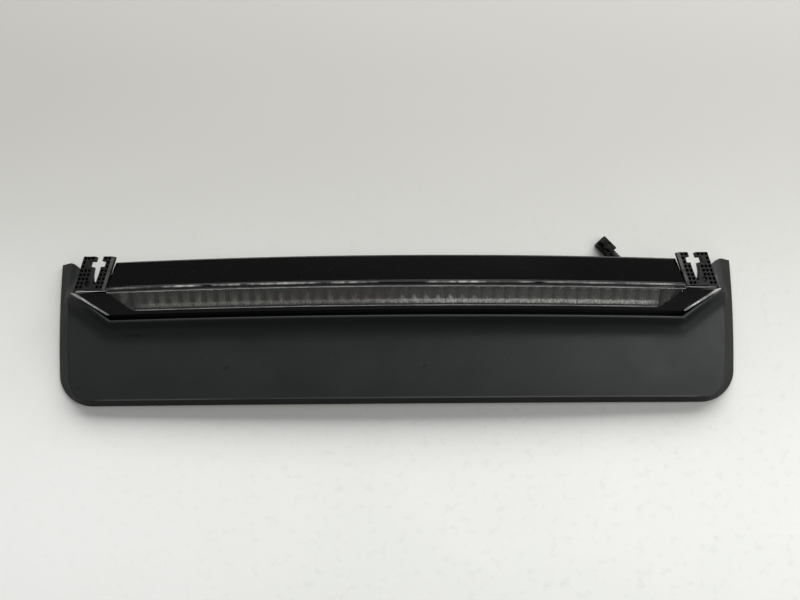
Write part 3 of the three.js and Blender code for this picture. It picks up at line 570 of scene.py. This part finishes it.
SLOTS = {part["node"]: part["material_slot"] for part in frame["record"]["subparts"]}
LOOK_OF_SLOT = {
    "cover_plastic": "cover",
    "housing_plastic": "housing",
    "bracket_plastic": "bracket",
    "gloss_black": "gloss",
    "clear_lens": "lens",
    "optic_clear": "optic",
    "metallised": "metallised",
    "board": "board",
    "led_body": "led",
    "component_black": "component",
    "steel": "steel",
    "black_steel": "black_steel",
    "terminal_brass": "brass",
    "rubber": "rubber",
    "cable": "tape",
    "wire": "rubber",
}
OWN_LOOKS = {"plug_body": "plug", "plug_latch": "plug", "bezel": "bezel"}


def look_of(node):
    """The look that a CAD node is given: its own, or that of the slot that the record puts it in."""
    return OWN_LOOKS.get(node) or LOOK_OF_SLOT[SLOTS[node]]


def dress(piece, look):
    piece.data.materials.clear()
    piece.data.materials.append(LOOKS[look])


# ---- Lead ----------------------------------------------------------------------------------------
ROUTE = [
    (94.8, 73.3, 5.9),
    (101, 73.2, 5.6),
    (108, 73.1, 4.6),
    (116, 73, 3.1),
    (124, 73, 2.1),
    (132, 73, 1.75),
    (140, 73, 1.7),
    (149.3, 73, 1.7),
    (153.9, 73.8, 1.7),
    (158, 76.1, 1.7),
    (160.9, 79.7, 1.7),
    (162, 84.1, 1.7),
    (161.2, 88.4, 1.9),
    (158.7, 92, 2.5),
    (155.54, 95.07, 3.1),
]


def smooth_route(points, count):
    """Points evenly spaced along a smooth curve through the given ones."""
    p = np.array(points, dtype=float)
    p = np.vstack([2 * p[0] - p[1], p, 2 * p[-1] - p[-2]])
    dense = []
    for i in range(1, len(p) - 2):
        knots = [0.0]
        for a, b in ((i - 1, i), (i, i + 1), (i + 1, i + 2)):
            knots.append(knots[-1] + math.sqrt(np.linalg.norm(p[b] - p[a])))
        t0, t1, t2, t3 = knots
        for t in np.linspace(t1, t2, 24, endpoint=False):
            a1 = (t1 - t) / (t1 - t0) * p[i - 1] + (t - t0) / (t1 - t0) * p[i]
            a2 = (t2 - t) / (t2 - t1) * p[i] + (t - t1) / (t2 - t1) * p[i + 1]
            a3 = (t3 - t) / (t3 - t2) * p[i + 1] + (t - t2) / (t3 - t2) * p[i + 2]
            b1 = (t2 - t) / (t2 - t0) * a1 + (t - t0) / (t2 - t0) * a2
            b2 = (t3 - t) / (t3 - t1) * a2 + (t - t1) / (t3 - t1) * a3
            dense.append((t2 - t) / (t2 - t1) * b1 + (t - t1) / (t2 - t1) * b2)
    dense.append(p[-2])
    dense = np.array(dense)
    length = np.concatenate([[0], np.cumsum(np.linalg.norm(np.diff(dense, axis=0), axis=1))])
    at = np.linspace(0, length[-1], count)
    return np.stack([np.interp(at, length, dense[:, k]) for k in range(3)], axis=1), length[-1]


def taped_lead(name, radius, tape=0.16, pitch=5.5, count=420, sides=28):
    """A round lead wrapped in overlapping cloth tape, with a step along each turn of the wrap."""
    line, length = smooth_route(ROUTE, count)
    rings = []
    up = np.array([0, 0, 1.0])
    for i, here in enumerate(line):
        along = line[min(i + 1, count - 1)] - line[max(i - 1, 0)]
        along /= np.linalg.norm(along)
        side = np.cross(along, up)
        side /= np.linalg.norm(side)
        top = np.cross(side, along)
        ring = []
        for s in range(sides):
            turn = 2 * math.pi * s / sides
            phase = (i / (count - 1) * length / pitch + turn / (2 * math.pi)) % 1
            edge = min(phase / 0.12, 1.0)
            r = radius - tape * (0.25 + 0.75 * phase) * edge
            ring.append(here + r * (math.cos(turn) * side + math.sin(turn) * top))
        rings.append(ring)
    return loft(name, rings), line, length


lead, lead_line, lead_length = taped_lead("lead", CABLE_RADIUS)
dress(lead, "tape")
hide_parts("pigtail_cable")
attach(lead, "lamp")
tuple(in_row_frame(lead_line[0])[0])
[tuple(p) for p in in_row_frame(lead_line)[::4]]


# ---- Trim cover ----------------------------------------------------------------------------------
def smoothstep(low, high, value):
    t = np.clip((value - low) / (high - low), 0, 1)
    return t * t * (3 - 2 * t)


def side_x(y):
    return COVER_HALF_WIDTH - SIDE_TAPER * ((y - WIDEST_Y) / 50) ** 2


STRAIGHT = side_x(CORNER_RADIUS) - CORNER_RADIUS  # half of the straight lower edge
ARC = CORNER_RADIUS * math.pi / 2
FAN = (STRAIGHT - 5, STRAIGHT + ARC + 38)  # the stretch of outline that faces the opening's slanting edge
WING_END = STRAIGHT + ARC + WING_TOP_Y - CORNER_RADIUS
CREASE = 0.9  # rounding where the ramps along the opening meet
RIM_EASE = 0.12  # the share of the flange that eases into the panel
LIP_SINKS = (72, 90)  # between these heights up the lamp the lip loses most of its rise
SLOPE = NOTCH[2] - NOTCH[1]
SLOPE_OUT = np.array([SLOPE[1], -SLOPE[0]]) / np.linalg.norm(SLOPE)


def outline(distance):
    """A point of the cover's right-hand outline, and the way in from it."""
    if distance <= STRAIGHT:
        return np.array([distance, 0.0]), np.array([0.0, 1.0])
    turn = (distance - STRAIGHT) / CORNER_RADIUS
    if turn >= math.pi / 2:
        y = CORNER_RADIUS + distance - STRAIGHT - ARC
        return np.array([side_x(y), y]), np.array([-1.0, 0.0])
    s, c = math.sin(turn), math.cos(turn)
    return np.array([STRAIGHT + CORNER_RADIUS * s, CORNER_RADIUS * (1 - c)]), np.array([-s, c])


def soft_max(a, b, width):
    """The larger of two distances, with the crease between them rounded over a width."""
    h = np.clip(0.5 + (a - b) / (2 * width), 0, 1)
    return b + (a - b) * h + width * h * (1 - h)


def edge_at(x, y):
    """How far inside the outline a point is, and how wide the flange is there."""
    a, b = x - STRAIGHT, CORNER_RADIUS - y
    if a > 0 and b > 0:
        turned = float(smoothstep(0, 1, math.atan2(a, b) / (math.pi / 2)))
        return CORNER_RADIUS - math.hypot(a, b), HEM_WIDTH + (FLANGE_WIDTH - HEM_WIDTH) * turned
    side = side_x(y) - x
    return (side, FLANGE_WIDTH) if side < y else (y, HEM_WIDTH)


def cover_top(x, y):
    """The height of the unbent cover's face: a bellied panel, a ramp up to the lip and a flange down."""
    right = abs(x)
    inside, width = edge_at(right, y)
    fall = max(0.0, 1 - inside / width)
    fall = fall if fall > RIM_EASE else fall * fall / (2 * RIM_EASE)
    slope = (right - NOTCH[1][0]) * SLOPE_OUT[0] + (y - NOTCH[1][1]) * SLOPE_OUT[1]
    away = float(soft_max(soft_max(NOTCH[1][1] - y, slope, CREASE), right - NOTCH[2][0], CREASE))
    climb = min(1.0, max(0.0, 1 - (away - LIP_LAND) / (RAMP_WIDTH - LIP_LAND)))
    rise = LIP_RISE * (1 - 0.8 * float(smoothstep(*LIP_SINKS, y))) * climb**RAMP_POWER
    panel = PANEL_EDGE_Z + PANEL_BELLY * (1 - ((y - 50) / 50) ** 2) + rise
    return panel - (panel - COVER_WALL) * (0.75 * fall + 0.25 * fall**2)


def cover_stations():
    """Points round the right half of the lamp's opening, each with its way out and its outline place."""
    # each leg of the opening: its two ends, where they fall on the outline, and its stations
    legs = [
        (NOTCH[0], NOTCH[1], 0, FAN[0], 60),
        (NOTCH[1], NOTCH[2], *FAN, 56),
        (NOTCH[2], NOTCH[3], FAN[1], WING_END, 18),
    ]
    outs = [np.array([0, -1.0]), SLOPE_OUT, np.array([1.0, 0])]
    half = []
    for leg, (start, end, first, last, count) in enumerate(legs):
        for i in range(count + (leg == 2)):
            t = i / count
            out = outs[leg]
            if leg and i < 4:
                out = outs[leg - 1] * (0.5 - i / 8) + outs[leg] * (0.5 + i / 8)
            if leg < 2 and i > count - 4:
                k = count - i
                out = outs[leg + 1] * (0.5 - k / 8) + outs[leg] * (0.5 + k / 8)
            out = out / max(out @ outs[leg], 0.2)
            half.append((start + (end - start) * t, out, first + (last - first) * t))
    return half


def wing_top(x):
    """The wing's upper edge, which falls away behind the bracket."""
    return WING_TOP_Y - 7.3 * (1 - float(smoothstep(NOTCH[3][0] - 3, 222, x)))


FLANGE_ROWS = [0.0, 0.06, 0.15, 0.3, 0.5, 0.7, 0.82, 0.9, 0.96, 1.0, 1.08]
MIDDLE_ROWS = [0.06, 0.15, 0.3, 0.45, 0.6, 0.75, 0.88, 0.96]
RAMP_ROWS = [1.0, 0.88, 0.76, 0.65, 0.55, 0.46, 0.38, 0.31, 0.25, 0.19, 0.14, 0.1, 0.07, 0.035]


def cover_rows(point, out, along):
    """Places from the cover's outline to its lip, for one station."""
    edge, inward = outline(along)
    reach = np.linalg.norm(edge - point)
    ramp = min(RAMP_WIDTH, 0.42 * reach)
    turned = float(smoothstep(STRAIGHT, STRAIGHT + ARC, along))
    flange = min(HEM_WIDTH + (FLANGE_WIDTH - HEM_WIDTH) * turned, 0.5 * reach)
    rows = [edge + inward * f * flange for f in FLANGE_ROWS]
    inner = [point + out * f * ramp for f in RAMP_ROWS]
    return rows + [rows[-1] + (inner[0] - rows[-1]) * f for f in MIDDLE_ROWS] + inner


def cover_ring(point, out, along, at_end):
    """One closed section of the cover: its rounded rim, its face, its lip and its underside."""
    edge, inward = outline(along)
    rows = cover_rows(point, out, along)
    if at_end:
        rows = [np.array([r[0], wing_top(r[0])]) for r in rows]
    heights = [cover_top(*r) for r in rows]
    low = heights[0]
    lip_z = cover_top(*point)
    # each pair is a distance in from the edge or out from the lip, and a drop below it
    rim = [(0.5, COVER_WALL), (0.12, COVER_WALL - 0.12), (0, COVER_WALL - 0.5)]
    rim += [(0, 0.8), (0.08, 0.35), (0.3, 0.06)]
    lip = [(0.3, 0.03), (0.08, 0.22), (0, 0.5), (0, COVER_WALL)]
    ring = [(*(edge + inward * f), low - drop) for f, drop in rim]
    ring += [(*r, h) for r, h in zip(rows[1:], heights[1:])]
    ring += [(*(point + out * f), lip_z - drop) for f, drop in lip]
    ring += [(*r, h - COVER_WALL) for r, h in zip(rows[:1:-1], heights[:1:-1])]
    return ring


def cover_rings():
    half = cover_stations()
    right = np.array([cover_ring(*station, i == len(half) - 1) for i, station in enumerate(half)])
    left = right[:0:-1].copy()
    left[..., 0] *= -1
    return bent(np.concatenate([left, right]))


cover = loft("cover_shell", cover_rings())
dress(cover, "cover")
soften(cover, weld=False, sharp=50)
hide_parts("trim_cover")
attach(cover, "lamp")


# ---- Lens frame ----------------------------------------------------------------------------------
def optic(v, w):
    """The y and z of a point v up the lens's face and w out of it."""
    c, s = math.cos(LENS_TILT), math.sin(LENS_TILT)
    return np.array([LENS_CENTRE[0] + v * c - w * s, LENS_CENTRE[1] + v * s + w * c])


def pillow_strip(name, per_pillow=14):
    """The inner optic: a strip with a rounded pillow for each pitch."""
    columns = PILLOWS * per_pillow + 1
    half = [(5.9, 0), (5.6, 0.35), (4.4, 0.6), (2, 0.78)]
    profile = [(-v, lift) for v, lift in half] + [(0, 0.84)] + half[::-1]
    front, back = -3.98, -5.35
    rings, uvs = [], []
    for i in range(columns):
        x = (i / per_pillow - PILLOWS / 2) * PILLOW_PITCH
        turn = (i % per_pillow) / per_pillow
        crest = math.sin(math.pi * turn) ** 0.7
        section = [(v, front + lift * crest) for v, lift in profile] + [(v, back) for v in (5.9, 0, -5.9)]
        rings.append([(x, *optic(v, w)) for v, w in section])
        uvs += [(i / (columns - 1), (v + 6) / 12) for v, _ in section]
    return loft(name, bent(rings), uvs)


strip = pillow_strip("pillow_optic")
dress(strip, "optic")
soften(strip, weld=False, sharp=60)
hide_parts("fluted_optic")
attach(strip, "lamp")


# ---- Upper mask ----------------------------------------------------------------------------------
MASK_END = ((188.9, 79.5), (182.4, 104))  # two points of the right end, which leans along the bracket


def mask_rings():
    (reach_low, y_low), (reach_high, y_high) = MASK_END
    lean = (reach_low - reach_high) / (y_high - y_low)
    section = rounded(
        [
            (77.7, 25.95),
            (78.6, 24.2),
            (95.6, 21.7),
            (95.9, 19.6),
            (97.3, 19.4),
            (97.5, 22.6),
            (96.9, 23.5),
            (80.4, 26.05),
            (79.5, 26.75),
            (78.4, 26.75),
        ],
        [0.3, 0.2, 0.3, 0.1, 0.25, 0.5, 0.5, 0.5, 0.6, 0.35],
        7,
    )
    rings = []
    for t in np.linspace(-1, 1, 161):
        reach = reach_low - np.maximum(section[:, 0] - y_low, 0) * lean
        rings.append(np.stack([t * reach, section[:, 0], section[:, 1]], axis=1))
    return bent(rings)


mask = loft("mask_strip", mask_rings())
dress(mask, "gloss")
soften(mask, 0.2, weld=False, sharp=45, bevel_from=60)
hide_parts("upper_mask")
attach(mask, "lamp")


# ---- CAD nodes that stay -------------------------------------------------------------------------
BEVELS = {
    "bezel": 0.45,
    "outer_lens": 0.2,
    "bracket_left": 0.16,
    "bracket_right": 0.16,
    "lamp_housing": 0.3,
    "plug_body": 0.2,
    "plug_latch": 0.12,
    "spring_clip_1": 0.15,
    "spring_clip_2": 0.15,
    "board_header": 0.3,
}
SMALL = ("led_0", "led_1", "driver", "resistor", "surge")
REPLACED = {"trim_cover", "fluted_optic", "upper_mask", "pigtail_cable"}
for name, node in nodes.items():
    if name in REPLACED:
        continue
    dress(node, look_of(name))
    soften(node, BEVELS.get(name, 0.12 if name.startswith(SMALL) else 0.0))


# ---- Floor and lights ----------------------------------------------------------------------------
def floor_look():
    """Pale paper, with painted light to the left and painted shade to the back."""
    look = Look("floor", (0.85, 0.855, 0.83), 0.75, specular=0.2)
    look.tint(look.ramp(look.noise(9, 6), 0.42, 0.7), (0.88, 0.88, 0.86))
    look.tint(look.times(look.ramp(look.noise(140, 4), 0.55, 0.8), 0.35), (0.6, 0.6, 0.57))
    x, y, _ = look.axes()
    # painted light: the paper is tinted lighter towards the left
    look.tint(look.ramp(x, 0.02, -0.3, 0.0, 0.7, smooth=True), (0.97, 0.97, 0.95))
    # painted shade: the paper is tinted darker towards the back
    look.tint(look.ramp(y, -0.16, 0.2, 0.0, 1.0, smooth=True), (0.48, 0.47, 0.445))
    return look.material


FLOOR = 3  # half of its side, in metres
floor_mesh = bpy.data.meshes.new("floor")
corners = [(-FLOOR, -FLOOR, 0), (FLOOR, -FLOOR, 0), (FLOOR, FLOOR, 0), (-FLOOR, FLOOR, 0)]
floor_mesh.from_pydata(corners, [], [(0, 1, 2, 3)])
floor = bpy.data.objects.new("floor", floor_mesh)
bpy.context.scene.collection.objects.link(floor)
floor.data.materials.append(floor_look())


def softbox(name, place, target, width, height, radiance):
    """A rectangular light at a place, aimed at a target, with its width kept level."""
    data = bpy.data.lights.new(name, "AREA")
    data.shape = "RECTANGLE"
    data.size, data.size_y = width, height
    data.energy = radiance * width * height * math.pi
    light = bpy.data.objects.new(name, data)
    bpy.context.scene.collection.objects.link(light)
    ahead = (Vector(target) - Vector(place)).normalized()
    across = Vector((1, 0, 0)) - ahead * ahead.x
    across.normalize()
    turn = Matrix((across, (-ahead).cross(across), -ahead)).transposed()
    light.matrix_world = Matrix.Translation(place) @ turn.to_4x4()


softbox("back", (0.3, 1.25, 0.8), (0.0, -0.2, 0), 2.6, 0.85, 6.5)
softbox("right_top", (0.95, 0.0, 1.25), (0.1, 0.0, 0), 0.9, 0.8, 2.6)
softbox("front_strip", (0.0, -1.4, 0.42), (0, 0.02, 0.02), 2.8, 0.02, 6.0)
softbox("left_corner", (-1.15, -1.1, 0.32), (-0.2, 0.02, 0.02), 0.2, 0.12, 6.0)
softbox("left_top", (-0.85, 0.15, 1.25), (-0.15, 0, 0), 0.4, 0.4, 1.0)
softbox("right_corner", (1.15, -0.95, 0.4), (0.2, 0.02, 0.02), 0.4, 0.25, 7.0)

WORLD_COLOR = (0.9, 0.95, 0.9, 1)
WORLD_STRENGTH = 0.16
world = bpy.data.worlds.new("studio")
bpy.context.scene.world = world
world.use_nodes = True
background = world.node_tree.nodes["Background"]
background.inputs["Color"].default_value = WORLD_COLOR
background.inputs["Strength"].default_value = WORLD_STRENGTH
bpy.context.scene.view_settings.view_transform = "Standard"
